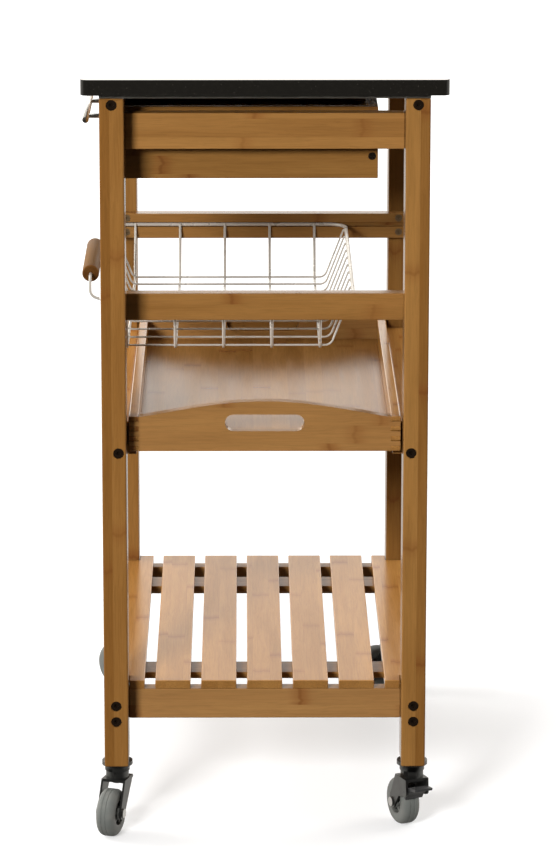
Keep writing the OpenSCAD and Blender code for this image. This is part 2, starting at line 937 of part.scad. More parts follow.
castor_hub(1);  // castor_hub_front_left
castor_hub(2);  // castor_hub_back_right
castor_hub(3);  // castor_hub_back_left
castor_axle(0);  // castor_axle_front_right
castor_axle(1);  // castor_axle_front_left
castor_axle(2);  // castor_axle_back_right
castor_axle(3);  // castor_axle_back_left
brake_lever(2);  // brake_lever_back_right
brake_lever(3);  // brake_lever_back_left
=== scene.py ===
import json
import math

import bmesh
import bpy
from mathutils import Matrix, Vector

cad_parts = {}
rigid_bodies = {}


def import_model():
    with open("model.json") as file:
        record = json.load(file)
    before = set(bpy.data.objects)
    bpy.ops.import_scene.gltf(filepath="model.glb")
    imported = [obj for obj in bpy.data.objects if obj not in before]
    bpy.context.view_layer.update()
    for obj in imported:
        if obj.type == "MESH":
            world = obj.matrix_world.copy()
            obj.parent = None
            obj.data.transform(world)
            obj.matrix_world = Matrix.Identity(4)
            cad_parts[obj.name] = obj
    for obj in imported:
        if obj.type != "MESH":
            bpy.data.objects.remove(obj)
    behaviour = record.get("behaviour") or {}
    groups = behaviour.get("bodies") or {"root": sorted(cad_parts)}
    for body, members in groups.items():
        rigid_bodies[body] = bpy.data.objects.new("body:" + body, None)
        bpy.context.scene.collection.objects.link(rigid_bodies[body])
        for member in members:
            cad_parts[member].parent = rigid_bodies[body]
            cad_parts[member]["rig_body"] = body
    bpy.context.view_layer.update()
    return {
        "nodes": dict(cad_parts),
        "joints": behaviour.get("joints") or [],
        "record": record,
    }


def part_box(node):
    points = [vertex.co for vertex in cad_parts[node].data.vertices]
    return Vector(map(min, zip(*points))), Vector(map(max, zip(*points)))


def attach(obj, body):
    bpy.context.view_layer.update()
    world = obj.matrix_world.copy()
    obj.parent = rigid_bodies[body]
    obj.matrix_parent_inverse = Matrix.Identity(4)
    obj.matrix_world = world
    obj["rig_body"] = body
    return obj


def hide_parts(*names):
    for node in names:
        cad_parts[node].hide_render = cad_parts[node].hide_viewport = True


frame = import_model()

# The finished look of the rolling utility cart. X runs from the cart's front to its back, Y from
# its right end, which faces the camera, to its left end, and Z is up. Lengths are in metres,
# and MM turns millimetres into metres.
SLOTS = {part["node"]: part["material_slot"] for part in frame["record"]["subparts"]}
MM = 0.001
X, Y, Z = 0, 1, 2


# ---------- camera, light and floor ----------

CAMERA_AT = Vector((-22.3, -4546.7, 1489.1)) * MM
CAMERA_PITCH = 13.816
CAMERA_YAW = -0.245
CAMERA_LENS = 180.16
CAMERA_SHIFT_X = 0.0222

# Each softbox's place, what it is aimed at, its size, watts and colour, and whether gloss shows it
SOFTBOXES = {
    "key": ((-1.4, -3.75, 1.8), (0, 0, 0.45), (0.9, 0.7), 215, (1.0, 0.97, 0.93), False),
    "top": ((-0.3, 0.3, 3.2), (0, 0, 0.5), (2.2, 2.2), 25, (1, 1, 1), True),
    "left_side": ((-2.6, 0.7, 1.3), (0, 0.1, 0.2), (1.4, 1.0), 60, (1.0, 0.95, 0.88), False),
    "right_side": ((2.6, 0.9, 1.3), (0, 0.1, 0.2), (1.4, 1.0), 35, (1.0, 0.95, 0.88), False),
}
WORLD_STRENGTH = 3.1
WARM_WHITE = (1.0, 0.955, 0.89)
# The floor reaches that many metres, and its glow grows between two distances in mm
FLOOR_REACH = 60
FLOOR_GREY = (0.60, 0.62, 0.65, 1)
FLOOR_GLOW = 0.38
FLOOR_GLOW_GAIN = 0.65
FLOOR_GLOW_FROM = 1000.0
FLOOR_GLOW_TO = 4500.0


def add_camera():
    data = bpy.data.cameras.new("camera")
    data.lens = CAMERA_LENS
    data.shift_x = CAMERA_SHIFT_X
    data.clip_end = 100
    camera = bpy.data.objects.new("camera", data)
    camera.location = CAMERA_AT
    camera.rotation_euler = (math.radians(90 - CAMERA_PITCH), 0, math.radians(CAMERA_YAW))
    bpy.context.scene.collection.objects.link(camera)
    bpy.context.scene.camera = camera


def add_softbox(name, at, target, size, watts, colour, in_gloss):
    """A rectangular light that the camera can't see."""
    data = bpy.data.lights.new(name, "AREA")
    data.shape = "RECTANGLE"
    data.size, data.size_y = size
    data.energy = watts
    data.color = colour
    light = bpy.data.objects.new(name, data)
    light.visible_camera = False
    light.visible_glossy = in_gloss
    light.location = at
    light.rotation_euler = (Vector(target) - Vector(at)).to_track_quat("-Z", "Y").to_euler()
    bpy.context.scene.collection.objects.link(light)


def add_world():
    """A white studio: bright at the sides and behind the cart, brightest a little over the horizon,
    and dim on the side that the camera stands on."""
    world = bpy.data.worlds.new("studio")
    world.use_nodes = True
    bpy.context.scene.world = world
    tree = world.node_tree
    tree.nodes.clear()
    coords = tree.nodes.new("ShaderNodeTexCoord")
    split = tree.nodes.new("ShaderNodeSeparateXYZ")
    tree.links.new(coords.outputs["Generated"], split.inputs[0])

    def brightness(axis, *stops):
        """A brightness that follows one axis of the direction, from -1 to 1."""
        place = tree.nodes.new("ShaderNodeMath")
        place.operation = "MULTIPLY_ADD"
        place.inputs[1].default_value = 0.5
        place.inputs[2].default_value = 0.5
        tree.links.new(split.outputs[axis], place.inputs[0])
        ramp = tree.nodes.new("ShaderNodeValToRGB")
        ramp.color_ramp.interpolation = "EASE"
        tree.links.new(place.outputs[0], ramp.inputs[0])
        elements = ramp.color_ramp.elements
        while len(elements) < len(stops):
            elements.new(0.5)
        for element, (at, value) in zip(elements, stops):
            element.position = (at + 1) / 2
            element.color = (value, value, value, 1)
        return ramp.outputs["Color"]

    depth = brightness("Y", (-1, 0.05), (-0.55, 0.09), (-0.05, 0.85), (0.3, 1), (1, 0.95))
    height = brightness("Z", (-1, 0.16), (-0.1, 0.32), (0.12, 1), (0.18, 1), (0.22, 0.4),
        (0.7, 0.27))
    both = tree.nodes.new("ShaderNodeVectorMath")
    both.operation = "MULTIPLY"
    tree.links.new(depth, both.inputs[0])
    tree.links.new(height, both.inputs[1])
    warm = tree.nodes.new("ShaderNodeVectorMath")
    warm.operation = "MULTIPLY"
    warm.inputs[1].default_value = WARM_WHITE
    tree.links.new(both.outputs[0], warm.inputs[0])
    glow = tree.nodes.new("ShaderNodeBackground")
    glow.inputs["Strength"].default_value = WORLD_STRENGTH
    tree.links.new(warm.outputs[0], glow.inputs["Color"])
    out = tree.nodes.new("ShaderNodeOutputWorld")
    tree.links.new(glow.outputs[0], out.inputs["Surface"])


def add_floor():
    """A white floor that brightens away from the cart, until it meets the world without an edge.
    The light that it would throw back is left to the world, so that the cart keeps its deep
    shadows."""
    far = FLOOR_REACH
    mesh = bpy.data.meshes.new("floor")
    mesh.from_pydata([(-far, -far, 0), (far, -far, 0), (far, far, 0), (-far, far, 0)], [],
        [(0, 1, 2, 3)])
    floor = bpy.data.objects.new("floor", mesh)
    bpy.context.scene.collection.objects.link(floor)
    floor.visible_diffuse = False
    floor.visible_glossy = False
    paint = Paint("floor_white")
    paint.finish(colour=FLOOR_GREY, rough=0.6)
    paint.set("Specular IOR Level", 0.1)
    paint.set("Emission Color", (1, 1, 1, 1))
    ramp = paint.fade(paint.length(paint.place), FLOOR_GLOW_FROM, FLOOR_GLOW_TO)
    glow = paint.math("MULTIPLY_ADD", ramp, FLOOR_GLOW_GAIN, FLOOR_GLOW)
    paint.feed(paint.shader.inputs["Emission Strength"], glow)
    mesh.materials.append(paint.material)


# ---------- node trees ----------

class Paint:
    """A material being built. place is the point on the piece in millimetres."""

    def __init__(self, name):
        self.material = bpy.data.materials.new(name)
        self.material.use_nodes = True
        self.tree = self.material.node_tree
        self.tree.nodes.clear()
        self.shader = self.tree.nodes.new("ShaderNodeBsdfPrincipled")
        out = self.tree.nodes.new("ShaderNodeOutputMaterial")
        self.tree.links.new(self.shader.outputs[0], out.inputs["Surface"])
        coords = self.tree.nodes.new("ShaderNodeTexCoord")
        self.place = self.vector("MULTIPLY", coords.outputs["Object"], (1000, 1000, 1000))
        self.facing = coords.outputs["Normal"]

    def feed(self, socket, value):
        if isinstance(value, bpy.types.NodeSocket):
            self.tree.links.new(value, socket)
        else:
            socket.default_value = value

    def set(self, name, value):
        """A number or colour that is the same all over the surface."""
        self.shader.inputs[name].default_value = value

    def math(self, operation, *values):
        node = self.tree.nodes.new("ShaderNodeMath")
        node.operation = operation
        for i, value in enumerate(values):
            self.feed(node.inputs[i], value)
        return node.outputs[0]

    def vector(self, operation, *values):
        node = self.tree.nodes.new("ShaderNodeVectorMath")
        node.operation = operation
        for i, value in enumerate(values):
            self.feed(node.inputs[i], value)
        return node.outputs[0]

    def length(self, value):
        """The length of a vector."""
        node = self.tree.nodes.new("ShaderNodeVectorMath")
        node.operation = "LENGTH"
        self.feed(node.inputs[0], value)
        return node.outputs["Value"]

    def split(self, value):
        node = self.tree.nodes.new("ShaderNodeSeparateXYZ")
        self.feed(node.inputs[0], value)
        return list(node.outputs)

    def join(self, *values):
        node = self.tree.nodes.new("ShaderNodeCombineXYZ")
        for i, value in enumerate(values):
            self.feed(node.inputs[i], value)
        return node.outputs[0]

    def random(self, at):
        """Three random numbers for the cell at that point."""
        node = self.tree.nodes.new("ShaderNodeTexWhiteNoise")
        self.feed(node.inputs["Vector"], at)
        return self.split(node.outputs["Color"])

    def noise(self, at, scale=1.0, detail=2.0, rough=0.5):
        node = self.tree.nodes.new("ShaderNodeTexNoise")
        self.feed(node.inputs["Vector"], at)
        node.inputs["Scale"].default_value = scale
        node.inputs["Detail"].default_value = detail
        node.inputs["Roughness"].default_value = rough
        return node.outputs[0]

    def cells(self, at, scale):
        """Random grains: the distance from each grain's middle, and its random colour."""
        node = self.tree.nodes.new("ShaderNodeTexVoronoi")
        self.feed(node.inputs["Vector"], at)
        node.inputs["Scale"].default_value = scale
        return node.outputs["Distance"], self.split(node.outputs["Color"])

    def fade(self, value, start, end):
        """0 up to start, 1 from end on, and smooth between. start may be above end."""
        node = self.tree.nodes.new("ShaderNodeMapRange")
        node.interpolation_type = "SMOOTHSTEP"
        self.feed(node.inputs["Value"], value)
        low, high = min(start, end), max(start, end)
        node.inputs["From Min"].default_value = low
        node.inputs["From Max"].default_value = high
        node.inputs["To Min"].default_value = 0.0 if start < end else 1.0
        node.inputs["To Max"].default_value = 1.0 if start < end else 0.0
        return node.outputs[0]

    def mix(self, share, first, second, mode="MIX"):
        node = self.tree.nodes.new("ShaderNodeMix")
        node.data_type = "RGBA"
        node.blend_type = mode
        self.feed(node.inputs["Factor"], share)
        self.feed(node.inputs[6], first)
        self.feed(node.inputs[7], second)
        return node.outputs[2]

    def dim(self, colour, share):
        """colour times a number."""
        node = self.tree.nodes.new("ShaderNodeVectorMath")
        node.operation = "SCALE"
        self.feed(node.inputs[0], colour)
        self.feed(node.inputs["Scale"], share)
        return node.outputs[0]

    def finish(self, colour=None, rough=None, metal=0.0, height=None, depth_mm=0.1):
        if colour is not None:
            self.feed(self.shader.inputs["Base Color"], colour)
        if rough is not None:
            self.feed(self.shader.inputs["Roughness"], rough)
        self.set("Metallic", metal)
        if height is not None:
            bump = self.tree.nodes.new("ShaderNodeBump")
            bump.inputs["Strength"].default_value = 1.0
            bump.inputs["Distance"].default_value = depth_mm * MM
            self.feed(bump.inputs["Height"], height)
            self.tree.links.new(bump.outputs[0], self.shader.inputs["Normal"])
        return self.material


# ---------- materials ----------

LIGHT_BAMBOO = (0.305, 0.152, 0.043, 1)
DARK_BAMBOO = (0.195, 0.086, 0.020, 1)
RED_BAMBOO = (0.110, 0.036, 0.009)
PALE_BAMBOO = (0.38, 0.235, 0.115, 1)
STONE_BLACK = (0.0085, 0.0078, 0.0066, 1)
STONE_GREY = (0.0125, 0.0115, 0.0098, 1)
STONE_FLECK = (0.028, 0.026, 0.022, 1)
DUST = (0.22, 0.21, 0.195, 1)
# The top board's grey is a painted reflection: the line of floor light along the stone's lower edge
EDGE_REFLECTION_GREY = (0.105, 0.098, 0.085, 1)
BOLT_BLACK = (0.013, 0.008, 0.005, 1)
SCREW_BROWN = (0.125, 0.085, 0.045, 1)
DRAWER_SCREW_BLACK = (0.013, 0.009, 0.006, 1)
NUT_ZINC = (0.62, 0.61, 0.58, 1)
WIRE_CHROME = (0.62, 0.60, 0.56, 1)
HANDLE_CHROME = (0.50, 0.495, 0.47, 1)
TYRE_GREY = (0.125, 0.135, 0.13, 1)
HUB_GREY = (0.10, 0.105, 0.10, 1)
FORK_STEEL = (0.09, 0.092, 0.09, 1)
PEDAL_BLACK = (0.035, 0.036, 0.038, 1)
AXLE_ZINC = (0.50, 0.50, 0.49, 1)

# Of the bamboo, in mm: how far apart a cane's knuckles are, how far a knuckle wanders across its
# strip, and how far the fibres sway
KNUCKLE_PITCH = 290.0
KNUCKLE_WANDER = 11.0
GRAIN_SWAY = 9.0
LACQUER_IOR = 1.46


def bamboo(name, along, strips, seed, shade=1.0, contrast=0.5, dark_past=None, rough=0.21,
        relief_mm=0.022, shine=0.15, pale=0.0):
    """Lacquered laminated bamboo. along is the axis of the grain, and strips are the widths in
    mm of the glued strips across the other two axes. contrast is how much the strips differ,
    and pale bleaches them. From dark_past mm on, to either side of the cart's middle, the
    lamination is a darker one."""
    p = Paint(name)
    axes = p.split(p.place)
    grain = axes[along]
    across = [axes[i] for i in (X, Y, Z) if i != along]

    # Which strip this is, and how near its edge
    steps = [p.math("ADD", p.math("DIVIDE", v, w), 0.37 + 0.171 * seed)
        for v, w in zip(across, strips)]
    if dark_past is not None:
        outwards = p.math("SUBTRACT", p.math("ABSOLUTE", across[0]), dark_past)
        steps[0] = p.math("DIVIDE", outwards, strips[0])
    strip = p.join(p.math("FLOOR", steps[0]), p.math("FLOOR", steps[1]), seed)
    luck = p.random(strip)
    other_luck = p.random(p.vector("ADD", strip, (17.3, 5.1, 9.7)))
    edges = [p.math("MULTIPLY", p.math("PINGPONG", step, 0.5), w)
        for step, w in zip(steps, strips)]
    glue = p.fade(p.math("MINIMUM", *edges), 0.32, 0.04)

    # Long swaying fibres, short darker dashes, and slow changes along the strip
    run = p.math("ADD", grain, p.math("MULTIPLY", luck[2], 400.0))
    sway = p.noise(p.join(p.math("MULTIPLY", across[0], 0.05), p.math("MULTIPLY", across[1], 0.05),
        p.math("MULTIPLY", run, 0.012)), detail=2.0)
    sway = p.math("MULTIPLY", p.math("SUBTRACT", sway, 0.5), GRAIN_SWAY)
    swayed = [p.math("ADD", v, sway) for v in across]
    stretched = [p.join(p.math("MULTIPLY", swayed[0], fine), p.math("MULTIPLY", swayed[1], fine),
        p.math("MULTIPLY", run, long)) for fine, long in ((0.7, 0.016), (2.6, 0.05), (0.06, 0.006))]
    fibre = p.noise(stretched[0], detail=3.0, rough=0.6)
    dashes = p.fade(p.noise(stretched[1], detail=1.0), 0.56, 0.74)
    slow = p.noise(stretched[2])

    # Knuckles: a soft wavy ridge with a redder zone round it, once in each length of cane
    wave = p.noise(p.join(p.math("MULTIPLY", across[0], 0.14),
        p.math("MULTIPLY", across[1], 0.14), luck[0]), detail=1.0)
    turns = p.math("ADD", p.math("DIVIDE", run, KNUCKLE_PITCH), other_luck[0])
    away = p.math("MULTIPLY", p.math("SUBTRACT", p.math("FRACT", turns), 0.5), KNUCKLE_PITCH)
    away = p.math("ADD", away, p.math("MULTIPLY", p.math("SUBTRACT", wave, 0.5), KNUCKLE_WANDER))
    near = p.math("ABSOLUTE", away)
    strong = p.math("ADD", 0.4, p.math("MULTIPLY", other_luck[1], 0.6))
    ridge = p.math("MULTIPLY", p.fade(near, 3.2, 0.3), strong)
    zone = p.math("MULTIPLY", p.fade(near, 15.0, 1.0), strong)
    lee = p.math("MULTIPLY", p.fade(away, 20.0, 1.0), p.fade(away, -3.0, 1.0))
    zone = p.math("ADD", zone, p.math("MULTIPLY", lee, p.math("MULTIPLY", strong, 0.5)))

    tone = p.math("MULTIPLY_ADD", luck[1], contrast, 0.62 - contrast / 2)
    tone = p.math("ADD", tone, p.math("MULTIPLY_ADD", p.fade(slow, 0.3, 0.7), 0.36, -0.18))
    if dark_past is not None:
        tone = p.math("SUBTRACT", tone, p.math("MULTIPLY", p.fade(outwards, -0.6, 0.6), 0.5))
    colour = p.mix(tone, DARK_BAMBOO, LIGHT_BAMBOO)
    colour = p.mix(pale, colour, PALE_BAMBOO)
    worn = shade
    for mark, depth in ((p.fade(fibre, 0.36, 0.72), 0.15), (dashes, 0.10), (glue, 0.10)):
        worn = p.math("MULTIPLY", worn, p.math("MULTIPLY_ADD", mark, -depth, 1.0))
    colour = p.dim(colour, worn)
    colour = p.mix(p.math("MULTIPLY", zone, 0.42), colour, p.dim(RED_BAMBOO, shade * 1.5))
    colour = p.mix(p.math("MULTIPLY", ridge, 0.38), colour, p.dim(RED_BAMBOO, shade))

    # End grain: dark fibre ends in a darker ground, where the face looks along the grain
    end = p.fade(p.math("ABSOLUTE", p.split(p.facing)[along]), 0.75, 0.9)
    spots = p.fade(p.cells(p.place, 1.1)[0], 0.15, 0.5)
    colour = p.mix(end, colour, p.dim(colour, p.math("MULTIPLY_ADD", spots, 0.3, 0.42)))

    gloss = p.math("MULTIPLY_ADD", p.fade(slow, 0.3, 0.75), 0.07, rough - 0.03)
    gloss = p.math("ADD", gloss, p.math("MULTIPLY", end, 0.25))
    height = p.math("ADD", p.math("MULTIPLY", fibre, 0.3), p.math("MULTIPLY", ridge, 0.8))
    height = p.math("SUBTRACT", height, p.math("MULTIPLY", glue, 0.5))
    p.set("IOR", LACQUER_IOR)
    p.set("Specular IOR Level", shine)
    return p.finish(colour, gloss, height=height, depth_mm=relief_mm)


def granite(name):
    """Black polished stone with faint grey crystals."""
    p = Paint(name)
    far, luck = p.cells(p.place, 0.62)
    grain = p.noise(p.place, 0.9, detail=3.0, rough=0.6)
    grey = p.math("MULTIPLY", p.fade(luck[0], 0.62, 0.9), p.fade(grain, 0.35, 0.65))
    colour = p.mix(grey, STONE_BLACK, STONE_GREY)
    fleck = p.math("MULTIPLY", p.fade(luck[1], 0.97, 0.99), p.fade(far, 0.4, 0.2))
    colour = p.mix(fleck, colour, STONE_FLECK)
    cloud = p.noise(p.place, 0.02, detail=2.0)
    rough = p.math("ADD", 0.05, p.math("MULTIPLY", cloud, 0.04))
    p.set("IOR", 1.55)
    return p.finish(colour, rough, height=grain, depth_mm=0.004)


def chrome(name, tint, rough, metal=1.0):
    """Plated steel with faint draw marks and dull spots."""
    p = Paint(name)
    cloud = p.noise(p.place, 0.06, detail=3.0)
    pits = p.noise(p.place, 1.4, detail=2.0)
    dull = p.fade(pits, 0.60, 0.78)
    colour = p.dim(tint[:3], p.math("SUBTRACT", 1.0, p.math("MULTIPLY", dull, 0.18)))
    gloss = p.math("ADD", rough, p.math("MULTIPLY", p.fade(cloud, 0.35, 0.75), 0.10))
    return p.finish(colour, gloss, metal=metal, height=pits, depth_mm=0.004)


def dark_metal(name, tint, rough, metal=0.9, shine=0.5):
    """Blackened or painted steel, rubbed a little along its raised marks."""
    p = Paint(name)
    cloud = p.noise(p.place, 0.11, detail=3.0)
    fine = p.noise(p.place, 2.2, detail=2.0)
    colour = p.dim(tint[:3], p.math("ADD", 0.75, p.math("MULTIPLY", cloud, 0.5)))
    gloss = p.math("ADD", rough - 0.06, p.math("MULTIPLY", fine, 0.14))
    p.set("Specular IOR Level", shine)
    return p.finish(colour, gloss, metal=metal, height=fine, depth_mm=0.02)


def rubber(name, tint, rough=0.55):
    """Moulded grey rubber with a fine grain and a little dust."""
    p = Paint(name)
    fine = p.noise(p.place, 1.8, detail=3.0)
    dust = p.fade(p.noise(p.place, 0.07, detail=3.0), 0.45, 0.75)
    colour = p.mix(p.math("MULTIPLY", dust, 0.30), tint, DUST)
    colour = p.dim(colour, p.math("ADD", 0.88, p.math("MULTIPLY", fine, 0.24)))
    gloss = p.math("ADD", rough, p.math("MULTIPLY", dust, 0.2))
    return p.finish(colour, gloss, height=fine, depth_mm=0.04)


# ---------- pieces ----------

def new_piece(name, bm, material):
    bmesh.ops.recalc_face_normals(bm, faces=bm.faces)
    mesh = bpy.data.meshes.new(name)
    bm.to_mesh(mesh)
    bm.free()
    for polygon in mesh.polygons:
        polygon.use_smooth = True
    mesh.materials.append(material)
    piece = bpy.data.objects.new(name, mesh)
    bpy.context.scene.collection.objects.link(piece)
    return piece


def stand_in(piece, body, slot, *nodes):
    """piece rides on that body, in the place of those CAD nodes."""
    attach(piece, body)
    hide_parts(*nodes)


def solids(node, axis):
    """The points of each separate solid in a CAD node's mesh, in their order along an axis."""
    bm = bmesh.new()
    bm.from_mesh(frame["nodes"][node].data)
    bmesh.ops.remove_doubles(bm, verts=bm.verts, dist=1e-6)
    left = set(bm.verts)
    found = []
    while left:
        seed = left.pop()
        group, queue = [seed], [seed]
        while queue:
            for edge in queue.pop().link_edges:
                for vert in edge.verts:
                    if vert in left:
                        left.discard(vert)
                        group.append(vert)
                        queue.append(vert)
        found.append([v.co.copy() for v in group])
    bm.free()
    return sorted(found, key=lambda points: ends_of(points, axis)[0])


def ends_of(points, axis):
    values = [p[axis] for p in points]
    return min(values), max(values)


def arc(before, corner, after, radius, steps=8):
    """Points that round a path's corner."""
    u = (before - corner).normalized()
    v = (after - corner).normalized()
    half = u.angle(v) / 2
    centre = corner + (u + v).normalized() * radius / math.sin(half)
    out = corner + u * radius / math.tan(half) - centre
    turn = math.pi - 2 * half
    return [centre + out * math.cos(turn * i / steps) - u * radius * math.sin(turn * i / steps)
        for i in range(steps + 1)]


def round_angles(sides):
    return [2 * math.pi * k / sides for k in range(sides)]


def skin(bm, loops, closed):
    """Joins loops of points into a tube. A closed one ends where it starts, and any other gets a
    face at each end."""
    sides = len(loops[0])
    for i in range(len(loops) if closed else len(loops) - 1):
        low, high = loops[i], loops[(i + 1) % len(loops)]
        for k in range(sides):
            bm.faces.new((low[k], low[(k + 1) % sides], high[(k + 1) % sides], high[k]))
    if not closed:
        bm.faces.new(loops[0])
        bm.faces.new(reversed(loops[-1]))


# A wire's end face as a share of its thickness, and how far in the full thickness starts
DOME_SHARE = 0.55
DOME_INSET = 0.45


def sweep(bm, path, radius, sides, closed=False, across=None):
    """Adds a round wire along a path, with round ends if it is open."""
    count = len(path)
    normal = across or Vector((0, 0, 1))
    rings = []
    for i, point in enumerate(path):
        before = path[(i - 1) % count] if closed or i else point
        after = path[(i + 1) % count] if closed or i < count - 1 else point
        heading = (after - before).normalized()
        normal = (normal - heading * normal.dot(heading)).normalized()
        side = heading.cross(normal)
        rings.append((point, normal.copy(), side, heading))
    if not closed:
        # A domed end: a smaller ring at the very end, and the full one a little further in
        start, end = rings[0], rings[-1]
        rings = [(*start, DOME_SHARE)] + [(*ring, 1.0) for ring in rings] + [(*end, DOME_SHARE)]
        inset = radius * DOME_INSET
        rings[1] = (start[0] + start[3] * inset, *start[1:], 1.0)
        rings[-2] = (end[0] - end[3] * inset, *end[1:], 1.0)
    else:
        rings = [(*ring, 1.0) for ring in rings]
    skin(bm, [[bm.verts.new(point + (up * math.cos(a) + side * math.sin(a)) * radius * share)
        for a in round_angles(sides)] for point, up, side, _, share in rings], closed)


def rounded_shoulder(half, radius, ease):
    """The profile points that round a turned shape's edge at -half, from its face to its side."""
    points = []
    for i in range(1, 7):
        a = math.radians(15 * i)
        points.append((-half + ease * (1 - math.cos(a)), radius - ease * (1 - math.sin(a))))
    return points


def with_mirror(profile):
    """A profile up to its middle, and then the same backwards on the other side."""
    return profile + [(-along, radius) for along, radius in reversed(profile)]


def lathe(bm, profile, place, sides, closed=False):
    """Adds a turned shape. profile is (distance along the axis, radius), and place is a matrix
    whose Z axis is the axis of the shape."""
    skin(bm, [[bm.verts.new(place @ Vector((radius * math.cos(a), radius * math.sin(a), along)))
        for a in round_angles(sides)] for along, radius in profile], closed)


def bead(bm, at, size):
    """A small weld between two wires."""
    bmesh.ops.create_uvsphere(bm, u_segments=10, v_segments=6, radius=1,
        matrix=Matrix.Translation(at) @ Matrix.Diagonal((*size, 1)))


def dress(node, material, ease_mm, segments=3, shortest_mm=6.0):
    """Stands a copy of a CAD node in for it, with its long outer edges eased."""
    source = frame["nodes"][node]
    bm = bmesh.new()
    bm.from_mesh(source.data)
    bmesh.ops.remove_doubles(bm, verts=bm.verts, dist=1e-6)
    bmesh.ops.dissolve_limit(bm, angle_limit=math.radians(0.5), verts=bm.verts, edges=bm.edges)
    edges = [edge for edge in bm.edges if len(edge.link_faces) == 2 and edge.is_convex
        and edge.calc_face_angle() > math.radians(50) and edge.calc_length() > shortest_mm * MM]
    bmesh.ops.bevel(bm, geom=edges, offset=ease_mm * MM, offset_type="OFFSET",
        segments=segments, profile=0.5, affect="EDGES", clamp_overlap=True)
    piece = new_piece(node + "_finished", bm, material)
    piece.data.set_sharp_from_angle(angle=math.radians(38))
    weighted = piece.modifiers.new("flat_faces", "WEIGHTED_NORMAL")
    weighted.keep_sharp = True
    stand_in(piece, source["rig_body"], SLOTS[node], node)
    return piece


# ---------- bamboo pieces ----------

# How far from the cart's middle the legs' darker lamination starts, the widths of the glued
# strips, and how far edges are eased, all in mm
LEG_SEAM = 157.0
LEG_STRIPS = (15.0, 6.4)
BOARD_STRIPS = (6.2, 19.0)
FLAT_STRIPS = (19.0, 6.2)
SLAT_STRIPS = (18.3, 12.0)
WHOLE_STRIPS = (30.0, 30.0)
LEG_EASE = 1.8
RAIL_EASE = 1.2
PANEL_EASE = 0.8
THIN_EASE = 0.3


def finish_wood():
    """Each wooden node has its own material, so that no two boards show the same strips. The
    numbers beside a node are its shade and how pale it is. Some of these shades are painted light
    and shade: the far leg and the far basket rail are darkened as painted shadow, and the tray
    rails, tray ledges and shelf slats are lightened as painted light."""
    # leg_back_left's shade of 0.78 is painted shade: the far leg is darkened as if it were in the
    # tray's shadow, on top of what the lights do.
    legs = {"leg_front_right": 0.93, "leg_back_right": 0.9, "leg_front_left": 0.95,
        "leg_back_left": 0.78}
    for seed, (node, shade) in enumerate(legs.items()):
        dress(node, bamboo(node, Z, LEG_STRIPS, seed + 1.0, shade, 0.4, LEG_SEAM), LEG_EASE)
    # basket_rail_left's shade of 0.88 is painted shade: the far basket rail is darkened as if it
    # were partly in shadow.
    across = {"top_end_rail_right": (1.0, 0.06), "top_end_rail_left": (1.0, 0.0),
        "basket_rail_right": (0.93, 0.04), "basket_rail_left": (0.88, 0.08),
        "shelf_end_rail_right": (1.0, 0.24), "shelf_end_rail_left": (1.0, 0.2),
        "tray_stop_rail": (1.0, 0.0), "shelf_battens": (1.0, 0.1)}
    for seed, (node, (shade, pale)) in enumerate(across.items()):
        dress(node, bamboo(node, X, BOARD_STRIPS, seed + 11.0, shade, pale=pale), RAIL_EASE)
    # The tray rails' shade of 1.7 and the tray ledges' 1.5 are painted light: they are lightened to
    # a cream look as if lit from the side.
    along = {"top_long_rails": 1.0, "tray_rail_front": 1.7, "tray_rail_back": 1.7,
        "tray_ledges": 1.5, "shelf_long_rail_front": 1.0, "shelf_long_rail_back": 1.0}
    for seed, (node, shade) in enumerate(along.items()):
        dress(node, bamboo(node, Y, BOARD_STRIPS, seed + 21.0, shade), RAIL_EASE)
    dress("drawer_runners", bamboo("drawer_runners", X, BOARD_STRIPS, 28.0), PANEL_EASE)
    # The top board is painted grey as a painted reflection, the light line along the stone's lower
    # edge, in place of bamboo.
    dress("top_board", rubber("board_painted_reflection_grey", EDGE_REFLECTION_GREY, 0.6), 0.6)
    # The slats' shade of 1.42 is partly their paler tone and partly painted light from above.
    slats = bamboo("shelf_slats", Y, SLAT_STRIPS, 31.0, 1.42, 0.3, relief_mm=0.003, shine=0.35)
    dress("shelf_slats", slats, 1.0)


def finish_drawer():
    dress("drawer_front", bamboo("drawer_front", Y, BOARD_STRIPS, 41.0), RAIL_EASE)
    for seed, node in enumerate(["drawer_side_right", "drawer_side_left"]):
        dress(node, bamboo(node, X, BOARD_STRIPS, seed + 42.0, 0.72), PANEL_EASE)
    dress("drawer_back", bamboo("drawer_back", Y, BOARD_STRIPS, 44.0), PANEL_EASE)
    dress("drawer_bottom", bamboo("drawer_bottom", Y, FLAT_STRIPS, 45.0, 1.1), THIN_EASE)


def finish_tray():
    for seed, node in enumerate(["tray_end_right", "tray_end_left"]):
        dress(node, bamboo(node, X, BOARD_STRIPS, seed + 51.0, pale=0.16), RAIL_EASE)
    dress("tray_sides", bamboo("tray_sides", Y, BOARD_STRIPS, 53.0, 1.4, shine=0.3), RAIL_EASE)
    panel = bamboo("tray_floor", Y, FLAT_STRIPS, 54.0, 1.1, 0.4, rough=0.2, relief_mm=0.002,
        shine=0.22)
    dress("tray_floor", panel, THIN_EASE)


# ---------- fasteners and worktop ----------

SHORTEST_FASTENER_EDGE = 0.1


def finish_hardware():
    dress("stone_top", granite("stone_top"), 2.2, segments=4)
    bolt = dark_metal("bolt_black", BOLT_BLACK, 0.5, 0.2, 0.15)
    screw = chrome("screw_zinc", SCREW_BROWN, 0.45, 0.2)
    drawer_screw = dark_metal("drawer_screw_black", DRAWER_SCREW_BLACK, 0.5, 0.2, 0.15)
    nut = chrome("nut_zinc", NUT_ZINC, 0.3)
    fasteners = {"leg_bolts": (bolt, 0.35), "frame_screws": (screw, 0.2),
        "drawer_screws": (drawer_screw, 0.2), "barrel_nuts": (nut, 0.4)}
    for node, (material, ease_mm) in fasteners.items():
        dress(node, material, ease_mm, 2, SHORTEST_FASTENER_EDGE)


# ---------- drawer handle ----------

